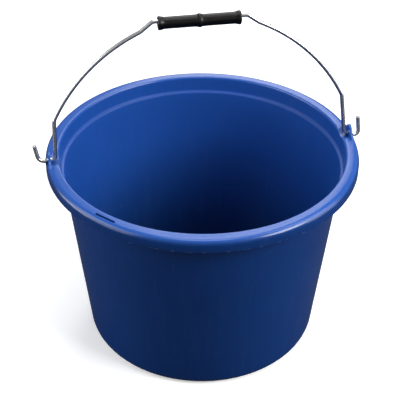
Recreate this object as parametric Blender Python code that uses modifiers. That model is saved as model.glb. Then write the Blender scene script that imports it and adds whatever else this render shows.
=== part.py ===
"""Round 12 litre mortar bucket with a folding wire bail and a turning sleeve grip.

World frame in metres: origin at the centre of the base's resting plane, +Z up through the open
mouth, and the bail's hinge axis along X. The bail is stored upright, leaning a little towards +Y.
"""
import math

import bmesh
import bpy

MM = 0.001

# ---- shell of revolution, millimetres ----
HEIGHT = 218.0                 # resting plane to rim top
RIM_RADIUS = 160.0             # outer face of the skirt
SKIRT_DEPTH = 13.0
FLANGE_THICKNESS = 2.2
SKIRT_THICKNESS = 2.1
WALL = 2.0
WALL_FOOT_RADIUS = 123.6       # outer wall carried down to the resting plane
WALL_SLOPE = 0.102             # growth of the wall's radius for each millimetre of height
MOUTH_RADIUS = 146.4           # inner wall carried up to the rim top
LEDGE_DROP = 17.0              # stacking ledge, below the rim top
LEDGE_WIDTH = 2.7
FLOOR_TOP = 4.0
RECESS_HEIGHT = 1.5            # the base's middle stands this far clear of the ground
FOOT_RING_RADIUS = 105.0       # inner edge of the ring that the bucket stands on
TURN_STEPS = 96

# ---- bail ears, each on a pad below the rim, and the clearances for the wire on both sides ----
HINGE_HEIGHT = HEIGHT + 0.5
WIRE_RADIUS = 2.1
EYE_RADIUS = 3.0
EYE_DROP = 0.55                # the wire rests this far below the middle of the eye
EAR_INNER_X = 154.6
EAR_OUTER_X = 157.0
EAR_RADIUS = 6.8               # round top
EAR_CENTRE = HEIGHT + 2.7      # height of the round top's centre
EAR_SPREAD = math.radians(24.0)  # the round top ends this far above level on both sides
EAR_ROOT = HEIGHT - 1.9        # buried in the rim
# half length and height above the rim top, down each flared edge of the ear
EAR_FLARE = ((8.0, 3.7), (11.0, 1.9), (16.6, 0.2), (17.4, EAR_ROOT - HEIGHT))
PAD_INNER_X = 146.6
PAD_OUTER_X = 157.6
PAD_HALF_LENGTH = 14.5
PAD_DEPTH = 8.4                # underside, below the rim top
SADDLE_INNER_X = 145.0         # inside the mouth, so the trough runs out over the rim's inner edge
SADDLE_HALF_LENGTH = 13.5      # at the rim top
SADDLE_FLOOR_HALF_LENGTH = 3.0
SADDLE_DEPTH = 2.1
NOTCH_HALF_LENGTH = 6.2
NOTCH_DEPTH = 6.3
EAR_STEPS = 16
EYE_SIDES = 24
CUT_OVERLAP = 0.5
CUT_CLEARANCE = 5.0            # how far a cutting box stands out of the surface it opens

# ---- slot through the rim ----
SLOT_LENGTH = 23.6
SLOT_WIDTH = 2.6
SLOT_RADIUS = 153.4
SLOT_ANGLE = math.radians(-136.2)

# ---- wire bail, in its own plane: X across, Y up from the hinge ----
BAIL_LEAN = math.radians(10.0)  # towards +Y
CROWN_HEIGHT = 133.6           # straight middle that carries the grip
ARC_BULGE = 10.5
# The wire is bent by hand over a former, so its two halves differ a little. Each side's bends:
# crown corner, shoulder (outer end of the short crank), knee, ankle, heel just outside the ear, sole,
# toe and tip of the hook.
WIRE_BENDS = {
    -1: (
        (45.5, CROWN_HEIGHT), (57.9, 124.2), (147.7, 41.2), (149.6, 0.0),
        (157.4, 0.0), (161.6, -1.0), (166.0, -1.9), (169.5, 16.4),
    ),
    1: (
        (48.3, CROWN_HEIGHT), (60.6, 125.1), (146.4, 42.7), (150.3, 0.0),
        (158.0, 0.0), (161.9, -4.9), (165.8, 0.5), (164.6, 17.0),
    ),
}
CROWN_BEND = 6.0               # radii of the bends that are alike on both sides
SHOULDER_BEND = 9.0
KNEE_BEND = 9.0
ANKLE_BEND = 4.0
HEEL_BEND = 2.6
HOOK_BENDS = {-1: (4.0, 6.5), 1: (3.4, 4.0)}   # sole and toe

# ---- sleeve grip ----
GRIP_LENGTH = 82.0
GRIP_MIDDLE_X = 0.6
GRIP_RADIUS = 5.95
GRIP_END_RADIUS = 6.95
GRIP_BEAD_RADIUS = 6.9
GRIP_BORE_RADIUS = 4.6
GRIP_DROP = GRIP_BORE_RADIUS - WIRE_RADIUS - 0.35   # the sleeve hangs on the wire
GRIP_STEPS = 32

# name: (colour, roughness, metallic)
MATERIALS = {
    "blue_plastic": ((0.035, 0.105, 0.42, 1.0), 0.34, 0.0),
    "galvanised_wire": ((0.60, 0.61, 0.62, 1.0), 0.28, 1.0),
    "black_plastic": ((0.018, 0.018, 0.020, 1.0), 0.42, 0.0),
}


def clear_scene():
    for thing in list(bpy.data.objects):
        bpy.data.objects.remove(thing, do_unlink=True)


def collection(name, hidden=False):
    group = bpy.data.collections.new(name)
    bpy.context.scene.collection.children.link(group)
    group.hide_render = hidden
    return group


def material(name):
    colour, roughness, metallic = MATERIALS[name]
    made = bpy.data.materials.new(name)
    made.use_nodes = True
    shader = made.node_tree.nodes["Principled BSDF"]
    shader.inputs["Base Color"].default_value = colour
    shader.inputs["Roughness"].default_value = roughness
    shader.inputs["Metallic"].default_value = metallic
    made.diffuse_color = colour
    return made


def rounded(corners):
    """Points of a path in a plane; each corner is (x, y, radius, segments)."""
    points = []
    last = len(corners) - 1
    for index, (x, y, radius, segments) in enumerate(corners):
        if radius == 0.0 or index in (0, last):
            points.append((x, y))
            continue
        x_in = corners[index - 1][0] - x
        y_in = corners[index - 1][1] - y
        x_out = corners[index + 1][0] - x
        y_out = corners[index + 1][1] - y
        length_in = math.hypot(x_in, y_in)
        length_out = math.hypot(x_out, y_out)
        x_in, y_in = x_in / length_in, y_in / length_in
        x_out, y_out = x_out / length_out, y_out / length_out
        half_angle = math.acos(max(-1.0, min(1.0, x_in * x_out + y_in * y_out))) / 2.0
        reach = radius / math.sin(half_angle)
        bisector = math.hypot(x_in + x_out, y_in + y_out)
        centre_x = x + (x_in + x_out) / bisector * reach
        centre_y = y + (y_in + y_out) / bisector * reach
        tangent = radius / math.tan(half_angle)
        start = math.atan2(y + y_in * tangent - centre_y, x + x_in * tangent - centre_x)
        end = math.atan2(y + y_out * tangent - centre_y, x + x_out * tangent - centre_x)
        sweep = (end - start + math.pi) % (2.0 * math.pi) - math.pi
        for step in range(segments + 1):
            angle = start + sweep * step / segments
            points.append((centre_x + radius * math.cos(angle), centre_y + radius * math.sin(angle)))
    return points


def new_object(name, mesh, group):
    made = bpy.data.objects.new(name, mesh)
    group.objects.link(made)
    return made


def turned(name, profile, group, axis, steps, closed):
    """Solid of revolution; the profile's points are (distance from the axis, place along it)."""
    mesh = bpy.data.meshes.new(name)
    shape = bmesh.new()
    verts = []
    for radius, along in profile:
        place = (radius, 0.0, along) if axis == "Z" else (along, radius, 0.0)
        verts.append(shape.verts.new([value * MM for value in place]))
    for first, second in zip(verts, verts[1:]):
        shape.edges.new((first, second))
    if closed:
        shape.edges.new((verts[-1], verts[0]))
    shape.to_mesh(mesh)
    shape.free()
    made = new_object(name, mesh, group)
    screw = made.modifiers.new("turn", "SCREW")
    screw.axis = axis
    screw.steps = steps
    screw.render_steps = steps
    screw.use_merge_vertices = True
    screw.merge_threshold = 0.00001
    screw.use_normal_calculate = True
    return made


def add_boolean(target, cutter, operation):
    modifier = target.modifiers.new(cutter.name, "BOOLEAN")
    modifier.operation = operation
    modifier.solver = "EXACT"
    modifier.object = cutter


def block(name, low, high, group):
    """Box between two corners, in millimetres."""
    mesh = bpy.data.meshes.new(name)
    shape = bmesh.new()
    bmesh.ops.create_cube(shape, size=1.0)
    for vert in shape.verts:
        vert.co = [(low[i] + (vert.co[i] + 0.5) * (high[i] - low[i])) * MM for i in range(3)]
    shape.to_mesh(mesh)
    shape.free()
    return new_object(name, mesh, group)


def plate(name, outline, x_from, x_to, group):
    """Flat plate across X with the given outline in Y and Z, in millimetres."""
    mesh = bpy.data.meshes.new(name)
    shape = bmesh.new()
    near = [shape.verts.new((x_from * MM, y * MM, z * MM)) for y, z in outline]
    far = [shape.verts.new((x_to * MM, y * MM, z * MM)) for y, z in outline]
    shape.faces.new(reversed(near))
    shape.faces.new(far)
    for index in range(len(outline)):
        following = (index + 1) % len(outline)
        shape.faces.new((near[index], near[following], far[following], far[index]))
    shape.to_mesh(mesh)
    shape.free()
    return new_object(name, mesh, group)


def rod_along_x(name, radius, x_from, x_to, height, sides, group):
    """Cylinder along X at Y = 0, in millimetres."""
    mesh = bpy.data.meshes.new(name)
    shape = bmesh.new()
    bmesh.ops.create_cone(
        shape,
        cap_ends=True,
        segments=sides,
        radius1=radius * MM,
        radius2=radius * MM,
        depth=(x_to - x_from) * MM,
    )
    shape.to_mesh(mesh)
    shape.free()
    made = new_object(name, mesh, group)
    made.rotation_euler = (0.0, math.pi / 2.0, 0.0)
    made.location = ((x_from + x_to) / 2.0 * MM, 0.0, height * MM)
    return made


def as_cutter(tool):
    tool.display_type = "WIRE"
    return tool


def shell_profile():
    """Half section from the middle of the floor, up the inside, over the rim and down the outside."""
    def outer_wall(height):
        return WALL_FOOT_RADIUS + WALL_SLOPE * height

    ledge = HEIGHT - LEDGE_DROP
    inner_ledge_radius = outer_wall(ledge) - WALL
    ledge_outer_radius = inner_ledge_radius + LEDGE_WIDTH
    skirt_inner = RIM_RADIUS - SKIRT_THICKNESS
    skirt_foot = HEIGHT - SKIRT_DEPTH
    flange_under = HEIGHT - FLANGE_THICKNESS
    step_under = ledge - WALL
    return rounded([
        (0.0, FLOOR_TOP, 0.0, 0),
        (outer_wall(FLOOR_TOP) - WALL, FLOOR_TOP, 9.0, 5),
        (inner_ledge_radius, ledge - 0.4, 0.7, 2),
        (ledge_outer_radius, ledge, 0.6, 1),
        (MOUTH_RADIUS, HEIGHT, 2.6, 4),
        (RIM_RADIUS, HEIGHT, 6.0, 5),
        (RIM_RADIUS, skirt_foot, 0.5, 1),
        (skirt_inner, skirt_foot, 0.5, 1),
        (skirt_inner, flange_under, 3.6, 3),
        (MOUTH_RADIUS + WALL, flange_under, 1.0, 1),
        (ledge_outer_radius + WALL, step_under, 0.8, 1),
        (outer_wall(step_under - 0.6), step_under - 0.6, 0.5, 1),
        (WALL_FOOT_RADIUS, 0.0, 10.8, 6),
        (FOOT_RING_RADIUS, 0.0, 0.4, 1),
        (FOOT_RING_RADIUS - RECESS_HEIGHT, RECESS_HEIGHT, 0.4, 1),
        (0.0, RECESS_HEIGHT, 0.0, 0),
    ])


def x_span(side, near, far):
    """Lower and upper X of something between two distances from the middle, on one side."""
    return sorted((side * near, side * far))


def ear_outline():
    """Y and Z of the ear's edge: round top, then both edges flare down to a root inside the rim."""
    front = [(-half, HEIGHT + above) for half, above in EAR_FLARE]
    back = [(half, HEIGHT + above) for half, above in reversed(EAR_FLARE)]
    top = []
    for step in range(EAR_STEPS + 1):
        angle = EAR_SPREAD + (math.pi - 2.0 * EAR_SPREAD) * step / EAR_STEPS
        top.append((EAR_RADIUS * math.cos(angle), EAR_CENTRE + EAR_RADIUS * math.sin(angle)))
    return back + top + front


def saddle_outline():
    """Y and Z of the shallow trough under the wire, with sloping ends."""
    floor = HEIGHT - SADDLE_DEPTH
    top = HEIGHT + CUT_CLEARANCE
    low = SADDLE_FLOOR_HALF_LENGTH
    high = SADDLE_HALF_LENGTH
    return [(-low, floor), (low, floor), (high, HEIGHT), (high, top), (-high, top), (-high, HEIGHT)]


def add_box(shell, name, span, half_length, heights, operation, cutters):
    """Joins a box centred on Y = 0 to the shell, or cuts it away."""
    low = (span[0], -half_length, heights[0])
    high = (span[1], half_length, heights[1])
    add_boolean(shell, as_cutter(block(name, low, high, cutters)), operation)


def add_ear(shell, side, cutters):
    """Pad, saddle inside the ear, notch outside it, upright ear and eye, for one end of the bail."""
    label = "left" if side < 0 else "right"
    eye_height = HINGE_HEIGHT + EYE_DROP

    span = x_span(side, PAD_INNER_X, PAD_OUTER_X)
    heights = (HEIGHT - PAD_DEPTH, EAR_ROOT)
    add_box(shell, f"{label}_pad", span, PAD_HALF_LENGTH, heights, "UNION", cutters)

    low, high = x_span(side, SADDLE_INNER_X, EAR_INNER_X + CUT_OVERLAP)
    saddle = as_cutter(plate(f"{label}_saddle", saddle_outline(), low, high, cutters))
    add_boolean(shell, saddle, "DIFFERENCE")

    span = x_span(side, EAR_OUTER_X - CUT_OVERLAP, RIM_RADIUS + CUT_CLEARANCE)
    heights = (HEIGHT - NOTCH_DEPTH, HEIGHT + CUT_CLEARANCE)
    add_box(shell, f"{label}_notch", span, NOTCH_HALF_LENGTH, heights, "DIFFERENCE", cutters)

    low, high = x_span(side, EAR_INNER_X, EAR_OUTER_X)
    ear = as_cutter(plate(f"{label}_ear", ear_outline(), low, high, cutters))
    add_boolean(shell, ear, "UNION")

    low, high = low - CUT_OVERLAP, high + CUT_OVERLAP
    eye = as_cutter(rod_along_x(f"{label}_eye", EYE_RADIUS, low, high, eye_height, EYE_SIDES, cutters))
    add_boolean(shell, eye, "DIFFERENCE")


def bucket_shell(group, cutters):
    shell = turned("bucket_shell", shell_profile(), group, "Z", TURN_STEPS, closed=False)
    for side in (-1, 1):
        add_ear(shell, side, cutters)

    low = (-SLOT_WIDTH / 2.0, -SLOT_LENGTH / 2.0, -CUT_CLEARANCE)
    high = (SLOT_WIDTH / 2.0, SLOT_LENGTH / 2.0, CUT_CLEARANCE)
    slot = as_cutter(block("rim_slot", low, high, cutters))
    slot.location = (
        SLOT_RADIUS * math.cos(SLOT_ANGLE) * MM,
        SLOT_RADIUS * math.sin(SLOT_ANGLE) * MM,
        HEIGHT * MM,
    )
    slot.rotation_euler = (0.0, 0.0, SLOT_ANGLE)
    add_boolean(shell, slot, "DIFFERENCE")
    return shell


def shoulder_arc(shoulder, knee, segments):
    """Long arc between shoulder and knee, both ends left out."""
    run = knee[0] - shoulder[0]
    rise = knee[1] - shoulder[1]
    chord = math.hypot(run, rise)
    radius = chord * chord / (8.0 * ARC_BULGE) + ARC_BULGE / 2.0
    points = []
    for step in range(1, segments):
        share = step / segments
        off_middle = (share - 0.5) * chord
        bulge = math.sqrt(radius * radius - off_middle * off_middle) - (radius - ARC_BULGE)
        x = shoulder[0] + run * share - rise / chord * bulge
        y = shoulder[1] + rise * share + run / chord * bulge
        points.append((x, y))
    return points


def bail_half(side):
    """One half of the wire's centre line, from the crown to the tip of the hook."""
    crown, shoulder, knee, ankle, heel, sole, toe, tip = WIRE_BENDS[side]
    sole_bend, toe_bend = HOOK_BENDS[side]
    corners = [(0.0, CROWN_HEIGHT, 0.0, 0), (*crown, CROWN_BEND, 4), (*shoulder, SHOULDER_BEND, 3)]
    corners += [(x, y, 0.0, 0) for x, y in shoulder_arc(shoulder, knee, 9)]
    corners += [(*knee, KNEE_BEND, 5), (*ankle, ANKLE_BEND, 6), (*heel, HEEL_BEND, 2)]
    corners += [(*sole, sole_bend, 5), (*toe, toe_bend, 6), (*tip, 0.0, 0)]
    return [(side * x, y) for x, y in rounded(corners)]


def bail_wire(group):
    points = bail_half(-1)[:0:-1] + bail_half(1)[1:]
    curve = bpy.data.curves.new("bail_wire", "CURVE")
    curve.dimensions = "3D"
    curve.bevel_depth = WIRE_RADIUS * MM
    curve.bevel_resolution = 2
    curve.render_resolution_u = 0
    curve.use_fill_caps = True
    spline = curve.splines.new("POLY")
    spline.points.add(len(points) - 1)
    for point, (x, y) in zip(spline.points, points):
        point.co = (x * MM, 0.0, y * MM, 1.0)
    wire = bpy.data.objects.new("bail_wire", curve)
    group.objects.link(wire)
    wire.location = (0.0, 0.0, HINGE_HEIGHT * MM)
    wire.rotation_euler = (-BAIL_LEAN, 0.0, 0.0)
    return wire


def grip_half_profile():
    """Outer outline of half of the sleeve, from the bead in the middle to the flared end."""
    half = GRIP_LENGTH / 2.0
    return [
        (GRIP_BEAD_RADIUS, 0.6),
        (GRIP_BEAD_RADIUS - 0.35, 1.5),
        (GRIP_RADIUS + 0.12, 3.4),
        (GRIP_RADIUS, 5.0),
        (GRIP_RADIUS, half - 9.0),
        (GRIP_RADIUS + 0.2, half - 5.5),
        (GRIP_END_RADIUS - 0.15, half - 2.6),
        (GRIP_END_RADIUS, half - 1.6),
        (GRIP_END_RADIUS - 0.2, half - 0.7),
        (GRIP_END_RADIUS - 0.9, half),
    ]


def grip_sleeve(group):
    outer = grip_half_profile()
    half = GRIP_LENGTH / 2.0
    profile = [(radius, -along) for radius, along in reversed(outer)] + outer
    profile += [(GRIP_BORE_RADIUS + 0.3, half), (GRIP_BORE_RADIUS, half - 0.5)]
    profile += [(GRIP_BORE_RADIUS, 0.5 - half), (GRIP_BORE_RADIUS + 0.3, -half)]
    grip = turned("grip_sleeve", profile, group, "X", GRIP_STEPS, closed=True)
    grip.location = (
        GRIP_MIDDLE_X * MM,
        CROWN_HEIGHT * math.sin(BAIL_LEAN) * MM,
        (HINGE_HEIGHT + CROWN_HEIGHT * math.cos(BAIL_LEAN) - GRIP_DROP) * MM,
    )
    return grip


def build():
    clear_scene()
    parts = collection("mortar_bucket")
    cutters = collection("cutters", hidden=True)
    shell = bucket_shell(parts, cutters)
    wire = bail_wire(parts)
    grip = grip_sleeve(parts)
    shell.data.materials.append(material("blue_plastic"))
    wire.data.materials.append(material("galvanised_wire"))
    grip.data.materials.append(material("black_plastic"))


build()
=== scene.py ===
"""Looks of the mortar bucket: moulded blue shell, galvanised wire bail, black sleeve grip."""
import math

import bmesh
import bpy
from mathutils import Matrix, Vector


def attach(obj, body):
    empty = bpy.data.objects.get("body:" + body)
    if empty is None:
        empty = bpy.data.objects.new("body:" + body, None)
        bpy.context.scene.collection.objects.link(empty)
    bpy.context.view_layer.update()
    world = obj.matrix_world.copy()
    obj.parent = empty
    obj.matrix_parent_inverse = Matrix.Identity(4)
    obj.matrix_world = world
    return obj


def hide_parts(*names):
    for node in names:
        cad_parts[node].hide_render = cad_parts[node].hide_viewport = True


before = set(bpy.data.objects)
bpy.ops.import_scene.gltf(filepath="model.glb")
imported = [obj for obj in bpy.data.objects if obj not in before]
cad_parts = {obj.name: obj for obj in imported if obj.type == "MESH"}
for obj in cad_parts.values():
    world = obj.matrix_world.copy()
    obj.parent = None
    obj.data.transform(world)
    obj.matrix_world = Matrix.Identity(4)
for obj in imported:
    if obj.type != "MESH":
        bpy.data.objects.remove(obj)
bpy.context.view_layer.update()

MM = 0.001
UPRIGHT = Matrix(((0, 0, 1, 0), (1, 0, 0, 0), (0, 1, 0, 0), (0, 0, 0, 1)))   # XY to YZ

# ---- shell, millimetres ----
HEIGHT = 218.0
RIM_RADIUS = 160.0
SKIRT_DEPTH = 13.0
FLANGE_THICKNESS = 2.2
SKIRT_THICKNESS = 2.1
WALL = 2.0
WALL_FOOT_RADIUS = 123.6
WALL_SLOPE = 0.102
MOUTH_RADIUS = 146.4
LEDGE_DROP = 17.0
LEDGE_WIDTH = 2.7
FLOOR_TOP = 4.0
RECESS_HEIGHT = 1.5
FOOT_RING_RADIUS = 105.0
GATE_RADIUS = 4.0
UNDERSIDE_RINGS = (72.0, 38.0)
TURN_STEPS = 240

# ---- ears ----
HINGE_HEIGHT = HEIGHT + 0.5
WIRE_RADIUS = 2.1
EYE_RADIUS = 3.0
EYE_DROP = 0.55
EAR_INNER_X = 154.6
EAR_OUTER_X = 157.0
EAR_RADIUS = 6.8
EAR_CENTRE = HEIGHT + 2.7
EAR_SPREAD = math.radians(24.0)
EAR_ROOT = HEIGHT - 1.9
EAR_FLARE = (
    (7.1, 4.5), (8.0, 3.5), (9.4, 2.5), (11.2, 1.7), (13.6, 0.9), (16.6, 0.2), (17.4, EAR_ROOT - HEIGHT),
)
PAD_INNER_X = 146.6
PAD_OUTER_X = 157.6
PAD_HALF_LENGTH = 14.5
PAD_DEPTH = 8.4
SADDLE_INNER_X = 145.0
SADDLE_HALF_LENGTH = 13.5
SADDLE_FLOOR_HALF_LENGTH = 3.0
SADDLE_DEPTH = 2.1
NOTCH_HALF_LENGTH = 6.2
NOTCH_DEPTH = 6.3
CUT_OVERLAP = 0.5       # a cut runs this far past the face it meets
CUT_CLEARANCE = 4.0     # and this far past the rim's outer edge
ARC_STEPS = 40

# ---- slot in the rim ----
SLOT_LENGTH = 23.6
SLOT_WIDTH = 2.6
SLOT_RADIUS = 153.4
SLOT_ANGLE = math.radians(-136.2)

# ---- bail ----
BAIL_LEAN = math.radians(10.0)
CROWN_HEIGHT = 133.6
ARC_BULGE = 10.5
WIRE_BENDS = {
    -1: (
        (45.5, CROWN_HEIGHT), (57.9, 124.2), (147.7, 41.2), (149.6, 0.0),
        (157.4, 0.0), (161.6, -1.0), (166.0, -1.9), (169.5, 16.4),
    ),
    1: (
        (48.3, CROWN_HEIGHT), (60.6, 125.1), (146.4, 42.7), (150.3, 0.0),
        (158.0, 0.0), (161.9, -4.9), (165.8, 0.5), (164.6, 17.0),
    ),
}
CROWN_BEND = 6.0
SHOULDER_BEND = 9.0
KNEE_BEND = 9.0
ANKLE_BEND = 4.0
HEEL_BEND = 2.6
HOOK_BENDS = {-1: (4.0, 6.5), 1: (3.4, 4.0)}   # sole and toe
WIRE_SIDES = 28
WIRE_CHAMFER = 0.35

# ---- grip ----
GRIP_LENGTH = 82.0
GRIP_MIDDLE_X = 0.6
GRIP_RADIUS = 5.95
GRIP_END_RADIUS = 6.95
GRIP_BEAD_RADIUS = 6.9
GRIP_BORE_RADIUS = 4.6
GRIP_DROP = GRIP_BORE_RADIUS - WIRE_RADIUS - 0.35
GRIP_STEPS = 64

# ---- camera, fitted to the rim, the walls and the base ----
CAMERA_PLACE = (-0.16076, -0.87853, 0.78806)
HINGE_TURN = -10.37            # degrees; the hinge axis is turned this far from the camera's right
CAMERA_HEADING = math.radians(-HINGE_TURN - 0.1395)
CAMERA_PITCH = math.radians(35.535)
CAMERA_ROLL = math.radians(0.2964)
CAMERA_LENS = 92.97

# ---- colours and lights ----
# Darker and lighter clouds of the blue in each zone of the shell. The four blues are one plastic with painted
# light and shade: lighter on the inner wall and the rim top, darker on the outer wall and deep inside. They
# were tuned together with the lights, so they hold part of the shading and are not one measured pigment.
OUTER_SHADED_COLOURS = ((0.0005, 0.033, 0.178), (0.0010, 0.038, 0.198))
INNER_LIT_COLOURS = ((0.0125, 0.070, 0.325), (0.0145, 0.078, 0.355))
DEEP_SHADED_COLOURS = ((0.0060, 0.036, 0.150), (0.0070, 0.041, 0.165))
FLANGE_LIT_COLOURS = ((0.011, 0.076, 0.355), (0.014, 0.086, 0.390))
RUB_COLOUR = (0.11, 0.19, 0.42, 1.0)   # pale blue of rubbed plastic

# name, azimuth, elevation, size and power of the studio's soft lights
SOFT_LIGHTS = (
    ("left_low", 270.0, 8.0, (0.95, 0.6), 11.0),
    ("left_front_low", 300.0, 8.0, (0.95, 0.6), 5.0),
    ("left", 275.0, 33.0, (0.85, 0.85), 8.0),
    ("left_front", 300.0, 33.0, (0.85, 0.85), 6.0),
    ("back", 176.0, 34.0, (0.6, 1.0), 6.0),
    ("right_low", 85.0, 8.0, (0.95, 0.6), 5.0),
    ("right_front", 60.0, 33.0, (0.85, 0.85), 30.0),
    ("right", 90.0, 33.0, (0.85, 0.85), 8.0),
    ("right_high", 100.0, 60.0, (0.75, 0.85), 6.0),
    ("back_high", 180.0, 60.0, (0.75, 0.85), 8.0),
    ("top", 0.0, 86.0, (0.8, 0.8), 8.0),
)
LIGHT_DISTANCE = 1.9
LIGHT_AIM_HEIGHT = 0.15


# ---------------------------------------------------------------- shapes
def rounded(corners):
    """Points of a path in a plane; each corner is (x, y, radius, segments)."""
    points = []
    last = len(corners) - 1
    for index, (x, y, radius, segments) in enumerate(corners):
        if radius == 0.0 or index in (0, last):
            points.append((x, y))
            continue
        into = Vector((corners[index - 1][0] - x, corners[index - 1][1] - y)).normalized()
        out = Vector((corners[index + 1][0] - x, corners[index + 1][1] - y)).normalized()
        half_angle = into.angle(out) / 2.0
        centre = Vector((x, y)) + (into + out).normalized() * (radius / math.sin(half_angle))
        tangent = radius / math.tan(half_angle)
        first = Vector((x, y)) + into * tangent - centre
        final = Vector((x, y)) + out * tangent - centre
        start = math.atan2(first.y, first.x)
        sweep = (math.atan2(final.y, final.x) - start + math.pi) % (2.0 * math.pi) - math.pi
        for step in range(segments + 1):
            angle = start + sweep * step / segments
            points.append((centre.x + radius * math.cos(angle), centre.y + radius * math.sin(angle)))
    return points


def subdivided(points, longest):
    """The same path with no stretch longer than the given length."""
    made = [points[0]]
    for (x0, y0), (x1, y1) in zip(points, points[1:]):
        count = max(1, math.ceil(math.hypot(x1 - x0, y1 - y0) / longest))
        for step in range(1, count + 1):
            made.append((x0 + (x1 - x0) * step / count, y0 + (y1 - y0) * step / count))
    return made


def new_object(name, mesh):
    made = bpy.data.objects.new(name, mesh)
    bpy.context.scene.collection.objects.link(made)
    return made


def mesh_from(shape, name):
    mesh = bpy.data.meshes.new(name)
    bmesh.ops.recalc_face_normals(shape, faces=shape.faces)
    shape.to_mesh(mesh)
    shape.free()
    return mesh


def lathe(name, profile, steps):
    """Solid of revolution about Z from a profile that starts and ends on the axis."""
    shape = bmesh.new()
    rings = []
    for radius, height in profile:
        if radius < 1e-6:
            rings.append([shape.verts.new((0.0, 0.0, height * MM))])
            continue
        ring = []
        for step in range(steps):
            angle = 2.0 * math.pi * step / steps
            x = radius * MM * math.cos(angle)
            y = radius * MM * math.sin(angle)
            ring.append(shape.verts.new((x, y, height * MM)))
        rings.append(ring)
    for near, far in zip(rings, rings[1:]):
        for step in range(steps):
            following = (step + 1) % steps
            if len(near) == 1:
                shape.faces.new((near[0], far[step], far[following]))
            elif len(far) == 1:
                shape.faces.new((near[step], near[following], far[0]))
            else:
                shape.faces.new((near[step], near[following], far[following], far[step]))
    return new_object(name, mesh_from(shape, name))


def prism(name, outline, depth):
    """Closed outline in XY, centred on Z = 0 and this deep."""
    shape = bmesh.new()
    low = [shape.verts.new((x * MM, y * MM, -depth / 2.0 * MM)) for x, y in outline]
    high = [shape.verts.new((x * MM, y * MM, depth / 2.0 * MM)) for x, y in outline]
    shape.faces.new(low)
    shape.faces.new(high)
    count = len(outline)
    for index in range(count):
        following = (index + 1) % count
        shape.faces.new((low[index], low[following], high[following], high[index]))
    return new_object(name, mesh_from(shape, name))


def round_rectangle(width, length, radius, segments=5):
    """Outline of a rectangle with round corners, centred."""
    points = []
    for corner_x, corner_y, start in ((1, 1, 0), (-1, 1, 90), (-1, -1, 180), (1, -1, 270)):
        for step in range(segments + 1):
            angle = math.radians(start + 90.0 * step / segments)
            points.append((
                corner_x * (width / 2.0 - radius) + radius * math.cos(angle),
                corner_y * (length / 2.0 - radius) + radius * math.sin(angle),
            ))
    return points


def soften(target, width, segments, angle=40.0):
    """Rounds the edges of a simple solid."""
    bevel = target.modifiers.new("soft", "BEVEL")
    bevel.width = width * MM
    bevel.segments = segments
    bevel.limit_method = "ANGLE"
    bevel.angle_limit = math.radians(angle)
    settle(target)


def settle(target):
    """Applies every modifier to the object's mesh."""
    graph = bpy.context.evaluated_depsgraph_get()
    old = target.data
    target.data = bpy.data.meshes.new_from_object(target.evaluated_get(graph))
    target.modifiers.clear()
    bpy.data.meshes.remove(old)


def combine(target, tool, operation):
    """Adds or takes away a tool solid, which is then gone."""
    boolean = target.modifiers.new("combine", "BOOLEAN")
    boolean.operation = operation
    boolean.solver = "EXACT"
    boolean.object = tool
    settle(target)
    bpy.data.objects.remove(tool, do_unlink=True)


def underside_ring(radius):
    """Low stiffening ring inside the recess of the base."""
    low = RECESS_HEIGHT - 0.7
    return [
        (radius + 1.3, RECESS_HEIGHT, 0.3, 2),
        (radius + 0.9, low, 0.3, 2),
        (radius - 0.9, low, 0.3, 2),
        (radius - 1.3, RECESS_HEIGHT, 0.3, 2),
    ]


def shell_profile():
    def outer_wall(height):
        return WALL_FOOT_RADIUS + WALL_SLOPE * height

    ledge = HEIGHT - LEDGE_DROP
    inner_ledge_radius = outer_wall(ledge) - WALL
    ledge_outer_radius = inner_ledge_radius + LEDGE_WIDTH
    skirt_inner = RIM_RADIUS - SKIRT_THICKNESS
    skirt_foot = HEIGHT - SKIRT_DEPTH
    flange_under = HEIGHT - FLANGE_THICKNESS
    step_under = ledge - WALL
    path = rounded([
        (0.0, FLOOR_TOP, 0.0, 0),
        (outer_wall(FLOOR_TOP) - WALL, FLOOR_TOP, 9.0, 14),
        (inner_ledge_radius, ledge - 0.4, 0.9, 5),
        (ledge_outer_radius, ledge, 0.8, 5),
        (MOUTH_RADIUS, HEIGHT, 2.6, 10),
        (RIM_RADIUS, HEIGHT, 6.0, 16),
        (RIM_RADIUS, skirt_foot, 0.5, 3),
        (skirt_inner, skirt_foot, 0.5, 3),
        (skirt_inner, flange_under, 3.6, 6),
        (MOUTH_RADIUS + WALL, flange_under, 1.0, 3),
        (ledge_outer_radius + WALL, step_under, 0.8, 3),
        (outer_wall(step_under - 0.6), step_under - 0.6, 0.5, 3),
        (WALL_FOOT_RADIUS, 0.0, 10.8, 16),
        (FOOT_RING_RADIUS, 0.0, 0.4, 2),
        (FOOT_RING_RADIUS - RECESS_HEIGHT, RECESS_HEIGHT, 0.4, 2),
        *underside_ring(UNDERSIDE_RINGS[0]),
        *underside_ring(UNDERSIDE_RINGS[1]),
        (GATE_RADIUS + 0.4, RECESS_HEIGHT, 0.3, 2),
        (GATE_RADIUS, RECESS_HEIGHT - 0.8, 0.3, 2),
        (0.0, RECESS_HEIGHT - 0.8, 0.0, 0),
    ])
    return subdivided(path, 12.0)


def ear_outline():
    """Y and Z of the ear's edge: round top, then both edges flare down to a root inside the rim."""
    front = [(-half, HEIGHT + above) for half, above in EAR_FLARE]
    back = [(half, HEIGHT + above) for half, above in reversed(EAR_FLARE)]
    top = []
    for step in range(ARC_STEPS + 1):
        angle = EAR_SPREAD + (math.pi - 2.0 * EAR_SPREAD) * step / ARC_STEPS
        top.append((EAR_RADIUS * math.cos(angle), EAR_CENTRE + EAR_RADIUS * math.sin(angle)))
    return back + top + front


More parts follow.
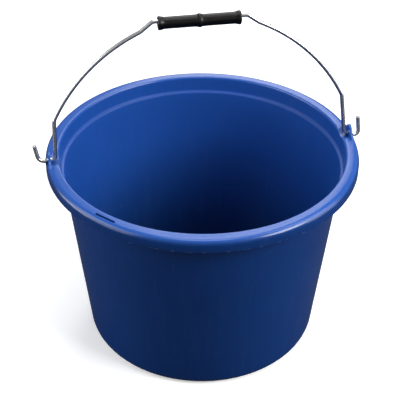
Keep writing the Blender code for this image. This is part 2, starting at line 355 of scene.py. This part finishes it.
def saddle_outline(above):
    """Y and Z of the shallow trough under the wire, with sloping ends."""
    corners = [(-SADDLE_HALF_LENGTH, above, 0.0, 0), (-SADDLE_HALF_LENGTH, HEIGHT, 0.0, 0)]
    corners += [(-SADDLE_FLOOR_HALF_LENGTH, HEIGHT - SADDLE_DEPTH, 5.0, 5)]
    corners += [(SADDLE_FLOOR_HALF_LENGTH, HEIGHT - SADDLE_DEPTH, 5.0, 5)]
    corners += [(SADDLE_HALF_LENGTH, HEIGHT, 0.0, 0), (SADDLE_HALF_LENGTH, above, 0.0, 0)]
    return rounded(corners)


def box(name, side, span, half_length, heights, corner):
    """Block with round upright edges on one side of the bucket."""
    width = span[1] - span[0]
    depth = heights[1] - heights[0]
    made = prism(name, round_rectangle(width, 2.0 * half_length, corner), depth)
    made.location = (side * (span[0] + span[1]) / 2.0 * MM, 0.0, (heights[0] + heights[1]) / 2.0 * MM)
    return made


def add_ear(shell, side):
    """Pad, saddle, notch, upright ear and eye for one end of the bail.

    The eye opens the upright ear only. The rim under it stays closed, so the wire's foot runs into it.
    """
    eye_height = HINGE_HEIGHT + EYE_DROP
    above = HEIGHT + 5.0
    pad = box("pad", side, (PAD_INNER_X, PAD_OUTER_X), PAD_HALF_LENGTH, (HEIGHT - PAD_DEPTH, EAR_ROOT), 1.0)
    combine(shell, pad, "UNION")
    saddle = prism("saddle", saddle_outline(above), EAR_INNER_X + CUT_OVERLAP - SADDLE_INNER_X)
    saddle.data.transform(UPRIGHT)
    saddle.location = (side * (SADDLE_INNER_X + EAR_INNER_X + CUT_OVERLAP) / 2.0 * MM, 0.0, 0.0)
    combine(shell, saddle, "DIFFERENCE")
    span = (EAR_OUTER_X - CUT_OVERLAP, RIM_RADIUS + CUT_CLEARANCE)
    notch = box("notch", side, span, NOTCH_HALF_LENGTH, (HEIGHT - NOTCH_DEPTH, above), 1.2)
    combine(shell, notch, "DIFFERENCE")

    thickness = EAR_OUTER_X - EAR_INNER_X
    ear = prism("ear", ear_outline(), thickness)
    circle = []
    for step in range(ARC_STEPS):
        angle = 2.0 * math.pi * step / ARC_STEPS
        circle.append((EYE_RADIUS * math.cos(angle), eye_height + EYE_RADIUS * math.sin(angle)))
    combine(ear, prism("eye", circle, thickness + 2.0), "DIFFERENCE")
    soften(ear, 0.45, 3)
    ear.data.transform(UPRIGHT)
    ear.location = (side * (EAR_INNER_X + EAR_OUTER_X) / 2.0 * MM, 0.0, 0.0)
    combine(shell, ear, "UNION")


def add_slot(shell):
    slot = prism("slot", round_rectangle(SLOT_WIDTH, SLOT_LENGTH, 0.9), 9.0)
    slot.location = (
        SLOT_RADIUS * math.cos(SLOT_ANGLE) * MM,
        SLOT_RADIUS * math.sin(SLOT_ANGLE) * MM,
        HEIGHT * MM,
    )
    slot.rotation_euler = (0.0, 0.0, SLOT_ANGLE)
    combine(shell, slot, "DIFFERENCE")


def shade(thing, angle=32.0):
    thing.data.shade_smooth()
    thing.data.set_sharp_from_angle(angle=math.radians(angle))


def make_shell():
    shell = lathe("shell_visual", shell_profile(), TURN_STEPS)
    for side in (-1, 1):
        add_ear(shell, side)
    add_slot(shell)
    shade(shell)
    return shell


def shoulder_arc(shoulder, knee, segments):
    run = knee[0] - shoulder[0]
    rise = knee[1] - shoulder[1]
    chord = math.hypot(run, rise)
    radius = chord * chord / (8.0 * ARC_BULGE) + ARC_BULGE / 2.0
    points = []
    for step in range(1, segments):
        share = step / segments
        off_middle = (share - 0.5) * chord
        bulge = math.sqrt(radius * radius - off_middle * off_middle) - (radius - ARC_BULGE)
        points.append((shoulder[0] + run * share - rise / chord * bulge,
                       shoulder[1] + rise * share + run / chord * bulge))
    return points


def bail_half(side):
    crown, shoulder, knee, ankle, heel, sole, toe, tip = WIRE_BENDS[side]
    sole_bend, toe_bend = HOOK_BENDS[side]
    corners = [(0.0, CROWN_HEIGHT, 0.0, 0), (*crown, CROWN_BEND, 10), (*shoulder, SHOULDER_BEND, 8)]
    corners += [(x, y, 0.0, 0) for x, y in shoulder_arc(shoulder, knee, 36)]
    corners += [(*knee, KNEE_BEND, 10), (*ankle, ANKLE_BEND, 14), (*heel, HEEL_BEND, 6)]
    corners += [(*sole, sole_bend, 12), (*toe, toe_bend, 14), (*tip, 0.0, 0)]
    return [(side * x, y) for x, y in rounded(corners)]


def tube(name, path, radius, sides):
    """Wire along a path in the XZ plane, with a small chamfer at its cut ends and a lengthwise UV map."""
    points = [Vector((x * MM, 0.0, y * MM)) for x, y in path]
    tangents = []
    for index in range(len(points)):
        before = points[max(0, index - 1)]
        after = points[min(len(points) - 1, index + 1)]
        tangents.append((after - before).normalized())
    chamfer = WIRE_CHAMFER * MM
    stations = [(points[0], tangents[0], radius * MM - chamfer)]
    stations.append((points[0] + tangents[0] * chamfer, tangents[0], radius * MM))
    for point, tangent in zip(points[1:-1], tangents[1:-1]):
        stations.append((point, tangent, radius * MM))
    stations.append((points[-1] - tangents[-1] * chamfer, tangents[-1], radius * MM))
    stations.append((points[-1], tangents[-1], radius * MM - chamfer))

    shape = bmesh.new()
    layer = shape.loops.layers.uv.new("along")
    across = Vector((0.0, 1.0, 0.0))
    rings = []
    lengths = [0.0]
    for index, (point, tangent, size) in enumerate(stations):
        if index:
            lengths.append(lengths[-1] + (point - stations[index - 1][0]).length)
        side = tangent.cross(across).normalized()
        ring = []
        for step in range(sides):
            angle = 2.0 * math.pi * step / sides
            ring.append(shape.verts.new(point + (side * math.cos(angle) + across * math.sin(angle)) * size))
        rings.append(ring)
    for index, (near, far) in enumerate(zip(rings, rings[1:])):
        for step in range(sides):
            following = (step + 1) % sides
            face = shape.faces.new((near[step], near[following], far[following], far[step]))
            around = (step / sides, (step + 1) / sides, (step + 1) / sides, step / sides)
            along = (lengths[index], lengths[index], lengths[index + 1], lengths[index + 1])
            for loop, u, v in zip(face.loops, around, along):
                loop[layer].uv = (u, v)
    for ring in (rings[0], rings[-1]):
        for loop in shape.faces.new(ring).loops:
            loop[layer].uv = (-1.0, -1.0)
    return new_object(name, mesh_from(shape, name))


def make_bail():
    path = bail_half(-1)[:0:-1] + bail_half(1)[1:]
    bail = tube("bail_visual", path, WIRE_RADIUS, WIRE_SIDES)
    turn = Matrix.Translation((0.0, 0.0, HINGE_HEIGHT * MM)) @ Matrix.Rotation(-BAIL_LEAN, 4, "X")
    bail.data.transform(turn)
    shade(bail)
    return bail


def grip_profile():
    half = GRIP_LENGTH / 2.0
    return rounded([
        (0.0, GRIP_BEAD_RADIUS, 0.0, 0),
        (0.7, GRIP_BEAD_RADIUS, 0.5, 4),
        (2.4, GRIP_RADIUS + 0.15, 1.6, 6),
        (6.0, GRIP_RADIUS, 6.0, 3),
        (half - 6.0, GRIP_RADIUS, 9.0, 6),
        (half - 2.2, GRIP_END_RADIUS, 1.6, 6),
        (half - 0.7, GRIP_END_RADIUS, 0.7, 4),
        (half, GRIP_END_RADIUS - 0.9, 0.5, 4),
        (half, GRIP_BORE_RADIUS, 0.4, 3),
        (half - 3.0, GRIP_BORE_RADIUS, 0.0, 0),
    ])


def make_grip():
    """Sleeve turned about X: outside from the middle bead to each end, then back through the bore."""
    half = grip_profile()
    ring = [(-x, r) for x, r in reversed(half)] + half[1:]
    shape = bmesh.new()
    rings = []
    for x, radius in ring:
        rings.append([
            shape.verts.new((
                x * MM,
                radius * MM * math.cos(2.0 * math.pi * step / GRIP_STEPS),
                radius * MM * math.sin(2.0 * math.pi * step / GRIP_STEPS),
            ))
            for step in range(GRIP_STEPS)
        ])
    for near, far in zip(rings, rings[1:] + rings[:1]):
        for step in range(GRIP_STEPS):
            following = (step + 1) % GRIP_STEPS
            shape.faces.new((near[step], near[following], far[following], far[step]))
    grip = new_object("grip_visual", mesh_from(shape, "grip_visual"))
    grip.data.transform(Matrix.Translation((
        GRIP_MIDDLE_X * MM,
        CROWN_HEIGHT * math.sin(BAIL_LEAN) * MM,
        (HINGE_HEIGHT + CROWN_HEIGHT * math.cos(BAIL_LEAN) - GRIP_DROP) * MM,
    )))
    shade(grip)
    return grip


# ---------------------------------------------------------------- materials
def node_material(name):
    made = bpy.data.materials.new(name)
    made.use_nodes = True
    tree = made.node_tree
    return made, tree, tree.nodes["Principled BSDF"]


def object_place(tree):
    return tree.nodes.new("ShaderNodeTexCoord").outputs["Object"]


def axes_of(tree, vector):
    node = tree.nodes.new("ShaderNodeSeparateXYZ")
    tree.links.new(vector, node.inputs["Vector"])
    return node.outputs["X"], node.outputs["Y"], node.outputs["Z"]


def radius_of(tree, place):
    """Distance from the bucket's axis."""
    flat = scaled(tree, place, (1.0, 1.0, 0.0))
    node = tree.nodes.new("ShaderNodeVectorMath")
    node.operation = "LENGTH"
    tree.links.new(flat, node.inputs[0])
    return node.outputs["Value"]


def noise(tree, vector, scale, detail=3.0, roughness=0.5):
    node = tree.nodes.new("ShaderNodeTexNoise")
    node.inputs["Scale"].default_value = scale
    node.inputs["Detail"].default_value = detail
    node.inputs["Roughness"].default_value = roughness
    tree.links.new(vector, node.inputs["Vector"])
    return node.outputs["Fac"]


def ramp(tree, value, stops):
    """Colour or grey ramp; stops are (place, colour)."""
    node = tree.nodes.new("ShaderNodeValToRGB")
    elements = node.color_ramp.elements
    while len(elements) < len(stops):
        elements.new(0.5)
    for element, (place, colour) in zip(elements, stops):
        element.position = place
        element.color = colour if len(colour) == 4 else (*colour, 1.0)
    tree.links.new(value, node.inputs["Fac"])
    return node.outputs["Color"]


def grey(level):
    return (level, level, level, 1.0)


def scaled(tree, vector, scale):
    node = tree.nodes.new("ShaderNodeMapping")
    node.inputs["Scale"].default_value = scale
    tree.links.new(vector, node.inputs["Vector"])
    return node.outputs["Vector"]


def maths(tree, operation, first, second=None, clamp=False):
    node = tree.nodes.new("ShaderNodeMath")
    node.operation = operation
    node.use_clamp = clamp
    for socket, value in zip(node.inputs, (first, second)):
        if value is None:
            continue
        if isinstance(value, (int, float)):
            socket.default_value = value
        else:
            tree.links.new(value, socket)
    return node.outputs["Value"]


def mixed(tree, share, first, second):
    node = tree.nodes.new("ShaderNodeMix")
    node.data_type = "RGBA"
    for name, value in (("Factor_Float", share), ("A_Color", first), ("B_Color", second)):
        socket = next(s for s in node.inputs if s.identifier == name)
        if isinstance(value, (int, float, tuple)):
            socket.default_value = value
        else:
            tree.links.new(value, socket)
    return next(s for s in node.outputs if s.identifier == "Result_Color")


def bump(tree, height, distance, strength, normal=None):
    node = tree.nodes.new("ShaderNodeBump")
    node.inputs["Distance"].default_value = distance
    node.inputs["Strength"].default_value = strength
    tree.links.new(height, node.inputs["Height"])
    if normal is not None:
        tree.links.new(normal, node.inputs["Normal"])
    return node.outputs["Normal"]


def band(tree, value, low, high, fade):
    """One between two limits, falling to zero over the fade on both sides."""
    rise = maths(tree, "DIVIDE", maths(tree, "SUBTRACT", value, low - fade), fade, clamp=True)
    fall = maths(tree, "DIVIDE", maths(tree, "SUBTRACT", high + fade, value), fade, clamp=True)
    return maths(tree, "MULTIPLY", rise, fall)


def threshold(tree, value, start, end):
    """Zero below the start and one above the end."""
    return maths(tree, "DIVIDE", maths(tree, "SUBTRACT", value, start), end - start, clamp=True)


def blue_plastic():
    """Satin polypropylene: cloudy pigment with painted light and shade by zone, fine grain, drag marks,
    rubbed lower edges and stacking ledge.
    """
    made, tree, shader = node_material("blue_plastic")
    place = object_place(tree)
    _, _, height = axes_of(tree, place)

    clouds = noise(tree, place, 9.0, 4.0, 0.55)
    # Lit and shaded copies of one blue: the inner wall and the rim top get a lighter blue as painted light,
    # the outer wall and the deep inside a darker blue as painted shade.
    outer_shaded, inner_lit_and_shaded, deep_shaded, flange_lit = (
        ramp(tree, clouds, [(0.3, dark), (0.7, light)])
        for dark, light in (OUTER_SHADED_COLOURS, INNER_LIT_COLOURS, DEEP_SHADED_COLOURS, FLANGE_LIT_COLOURS)
    )
    # The inside darkens towards the bottom: painted shade deep in the bucket.
    inner_lit_and_shaded = mixed(tree, threshold(tree, height, 30.0 * MM, 150.0 * MM), deep_shaded, inner_lit_and_shaded)
    foot_middle = (WALL_FOOT_RADIUS - WALL / 2.0) * MM
    wall_middle = maths(tree, "ADD", maths(tree, "MULTIPLY", height, WALL_SLOPE), foot_middle)
    beyond = maths(tree, "SUBTRACT", radius_of(tree, place), wall_middle)
    above_ledge = threshold(tree, height, (HEIGHT - LEDGE_DROP - 1.0) * MM, (HEIGHT - LEDGE_DROP) * MM)
    beyond = maths(tree, "SUBTRACT", beyond, maths(tree, "MULTIPLY", above_ledge, 4.5 * MM))
    outside = threshold(tree, beyond, -0.3 * MM, 0.3 * MM)
    # Painted shade on the outer wall, painted light on the inner wall.
    colour = mixed(tree, outside, inner_lit_and_shaded, outer_shaded)
    # The top few millimetres of the rim get a lighter blue: painted light on the rim top.
    rim_top_lit = threshold(tree, height, (HEIGHT - 3.5) * MM, (HEIGHT - 0.8) * MM)
    colour = mixed(tree, rim_top_lit, colour, flange_lit)
    streaks = noise(tree, scaled(tree, place, (60.0, 60.0, 2.0)), 3.0, 3.0, 0.6)
    streaked = maths(tree, "MULTIPLY", threshold(tree, streaks, 0.52, 0.75), 0.04)
    colour = mixed(tree, streaked, colour, RUB_COLOUR)

    skirt = band(tree, height, (HEIGHT - SKIRT_DEPTH - 0.6) * MM, (HEIGHT - SKIRT_DEPTH + 0.7) * MM, 0.8 * MM)
    foot = band(tree, height, -1.0 * MM, 1.5 * MM, 3.5 * MM)
    edges = maths(tree, "MULTIPLY", outside, maths(tree, "MAXIMUM", skirt, foot))
    chips = threshold(tree, noise(tree, place, 170.0, 5.0, 0.65), 0.52, 0.66)
    rubbed = maths(tree, "MULTIPLY", maths(tree, "MULTIPLY", edges, chips), 0.55)
    colour = mixed(tree, rubbed, colour, RUB_COLOUR)

    scuffs = noise(tree, scaled(tree, place, (14.0, 14.0, 130.0)), 4.0, 5.0, 0.7)
    scuffed = maths(tree, "MULTIPLY", threshold(tree, scuffs, 0.62, 0.70), 0.10)
    colour = mixed(tree, scuffed, colour, RUB_COLOUR)
    tree.links.new(colour, shader.inputs["Base Color"])

    rough = ramp(tree, noise(tree, place, 55.0, 4.0), [(0.3, grey(0.21)), (0.7, grey(0.25))])
    ledge = band(tree, height, (HEIGHT - LEDGE_DROP - 1.5) * MM, (HEIGHT - LEDGE_DROP + 1.2) * MM, 0.8 * MM)
    stacked = maths(tree, "MULTIPLY", ledge, 0.75)
    worn = maths(tree, "MAXIMUM", maths(tree, "MAXIMUM", rubbed, scuffed), stacked)
    rough = mixed(tree, worn, rough, grey(0.58))
    tree.links.new(rough, shader.inputs["Roughness"])

    grain = noise(tree, place, 900.0, 2.0)
    waves = noise(tree, scaled(tree, place, (26.0, 26.0, 7.0)), 1.0, 2.0)
    normal = bump(tree, grain, 0.000012, 0.5)
    normal = bump(tree, waves, 0.0002, 0.35, normal)
    tree.links.new(normal, shader.inputs["Normal"])
    shader.inputs["IOR"].default_value = 1.49
    return made


def galvanised_wire():
    """Drawn and zinc-plated: fine lines along the wire, cloudy zinc, dull sheared ends."""
    made, tree, shader = node_material("galvanised_wire")
    shader.inputs["Metallic"].default_value = 1.0
    place = object_place(tree)
    chart = tree.nodes.new("ShaderNodeUVMap")
    chart.uv_map = "along"
    around, _, _ = axes_of(tree, chart.outputs["UV"])
    lines = noise(tree, scaled(tree, chart.outputs["UV"], (40.0, 14.0, 1.0)), 1.0, 4.0, 0.6)
    clouds = noise(tree, place, 240.0, 5.0, 0.6)
    mottle = maths(tree, "ADD", maths(tree, "MULTIPLY", lines, 0.5), maths(tree, "MULTIPLY", clouds, 0.5))
    colour = ramp(tree, mottle, [(0.35, (0.60, 0.61, 0.63)), (0.65, (0.70, 0.71, 0.72))])
    rough = ramp(tree, mottle, [(0.35, grey(0.28)), (0.65, grey(0.24))])

    sheared = maths(tree, "LESS_THAN", around, -0.5)
    colour = mixed(tree, sheared, colour, (0.36, 0.35, 0.34, 1.0))
    rough = mixed(tree, sheared, rough, grey(0.55))
    tree.links.new(colour, shader.inputs["Base Color"])
    tree.links.new(rough, shader.inputs["Roughness"])
    tree.links.new(bump(tree, lines, 0.000006, 0.2), shader.inputs["Normal"])
    return made


def black_plastic():
    """Satin black sleeve: parting line along both sides, fine grain and handling scuffs."""
    made, tree, shader = node_material("black_plastic")
    place = object_place(tree)
    _, depth, _ = axes_of(tree, place)
    middle = CROWN_HEIGHT * math.sin(BAIL_LEAN) * MM
    scuffs = noise(tree, scaled(tree, place, (30.0, 150.0, 150.0)), 3.0, 5.0, 0.65)
    scuffed = threshold(tree, scuffs, 0.50, 0.72)
    colour = mixed(tree, scuffed, (0.0015, 0.0015, 0.0016, 1.0), (0.006, 0.006, 0.006, 1.0))
    tree.links.new(colour, shader.inputs["Base Color"])
    rough = mixed(tree, scuffed, grey(0.30), grey(0.42))
    tree.links.new(rough, shader.inputs["Roughness"])
    seam = band(tree, depth, middle - 0.12 * MM, middle + 0.12 * MM, 0.12 * MM)
    normal = bump(tree, noise(tree, place, 1100.0, 3.0), 0.00002, 0.5)
    normal = bump(tree, seam, 0.00015, 0.6, normal)
    tree.links.new(normal, shader.inputs["Normal"])
    shader.inputs["IOR"].default_value = 1.34
    return made


def pale_floor():
    """Near-white sweep that fades into the white backdrop; it throws little light back onto the bucket."""
    made, tree, shader = node_material("pale_floor")
    place = tree.nodes.new("ShaderNodeTexCoord").outputs["Object"]
    seen = ramp(tree, noise(tree, place, 3.0), [(0.3, grey(0.93)), (0.7, grey(0.95))])
    ray = tree.nodes.new("ShaderNodeLightPath").outputs["Is Camera Ray"]
    base = mixed(tree, ray, grey(0.04), seen)
    tree.links.new(base, shader.inputs["Base Color"])
    away = threshold(tree, radius_of(tree, place), 0.5, 1.6)
    glow = mixed(tree, away, grey(0.36), grey(1.0))
    tree.links.new(mixed(tree, ray, grey(0.0), glow), shader.inputs["Emission Color"])
    shader.inputs["Emission Strength"].default_value = 1.0
    shader.inputs["Roughness"].default_value = 0.85
    return made


# ---------------------------------------------------------------- stage
def area_light(name, place, target, size, power):
    light = bpy.data.lights.new(name, "AREA")
    light.shape = "RECTANGLE"
    light.size, light.size_y = size
    light.energy = power
    made = bpy.data.objects.new(name, light)
    bpy.context.scene.collection.objects.link(made)
    made.location = place
    made.rotation_euler = (Vector(target) - Vector(place)).to_track_quat("-Z", "Y").to_euler()
    return made


def aimed_light(name, azimuth, elevation, size, power):
    """Soft light aimed at the bucket; azimuth is measured from the camera's side, to its right."""
    turned = math.radians(azimuth + HINGE_TURN)
    flat = LIGHT_DISTANCE * math.cos(math.radians(elevation))
    place = (
        flat * math.sin(turned),
        -flat * math.cos(turned),
        LIGHT_DISTANCE * math.sin(math.radians(elevation)) + LIGHT_AIM_HEIGHT,
    )
    return area_light(name, place, (0.0, 0.0, LIGHT_AIM_HEIGHT), size, power)


def make_stage():
    shape = bmesh.new()
    bmesh.ops.create_grid(shape, x_segments=4, y_segments=4, size=6.0)
    floor = new_object("floor", mesh_from(shape, "floor"))
    floor.location = (0.0, 0.0, -0.0002)
    floor.data.materials.append(pale_floor())

    world = bpy.data.worlds.new("studio")
    bpy.context.scene.world = world
    world.use_nodes = True
    tree = world.node_tree
    back = tree.nodes["Background"]
    ray = tree.nodes.new("ShaderNodeLightPath").outputs
    level = mixed(tree, ray["Is Glossy Ray"], grey(0.0), grey(0.35))
    level = mixed(tree, ray["Is Camera Ray"], level, grey(1.0))
    tree.links.new(level, back.inputs["Color"])
    back.inputs["Strength"].default_value = 1.0

    for name, azimuth, elevation, size, power in SOFT_LIGHTS:
        aimed_light(name, azimuth, elevation, size, power)


def make_camera():
    camera = bpy.data.cameras.new("camera")
    camera.lens = CAMERA_LENS
    camera.sensor_width = 36.0
    camera.clip_start = 0.05
    camera.clip_end = 60.0
    made = bpy.data.objects.new("camera", camera)
    bpy.context.scene.collection.objects.link(made)
    forward = Vector((
        math.sin(CAMERA_HEADING) * math.cos(CAMERA_PITCH),
        math.cos(CAMERA_HEADING) * math.cos(CAMERA_PITCH),
        -math.sin(CAMERA_PITCH),
    ))
    right = forward.cross(Vector((0.0, 0.0, 1.0))).normalized()
    up = right.cross(forward)
    turned_right = right * math.cos(CAMERA_ROLL) + up * math.sin(CAMERA_ROLL)
    turned_up = up * math.cos(CAMERA_ROLL) - right * math.sin(CAMERA_ROLL)
    axes = Matrix((turned_right, turned_up, -forward)).transposed().to_4x4()
    made.matrix_world = Matrix.Translation(CAMERA_PLACE) @ axes
    bpy.context.scene.camera = made


def dress(piece, body, node, material):
    piece.data.materials.clear()
    piece.data.materials.append(material)
    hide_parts(node)
    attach(piece, body)


make_camera()
make_stage()
dress(make_shell(), "bucket", "bucket_shell", blue_plastic())
dress(make_bail(), "bail", "bail_wire", galvanised_wire())
dress(make_grip(), "grip", "grip_sleeve", black_plastic())
bpy.context.scene.view_settings.view_transform = "Standard"
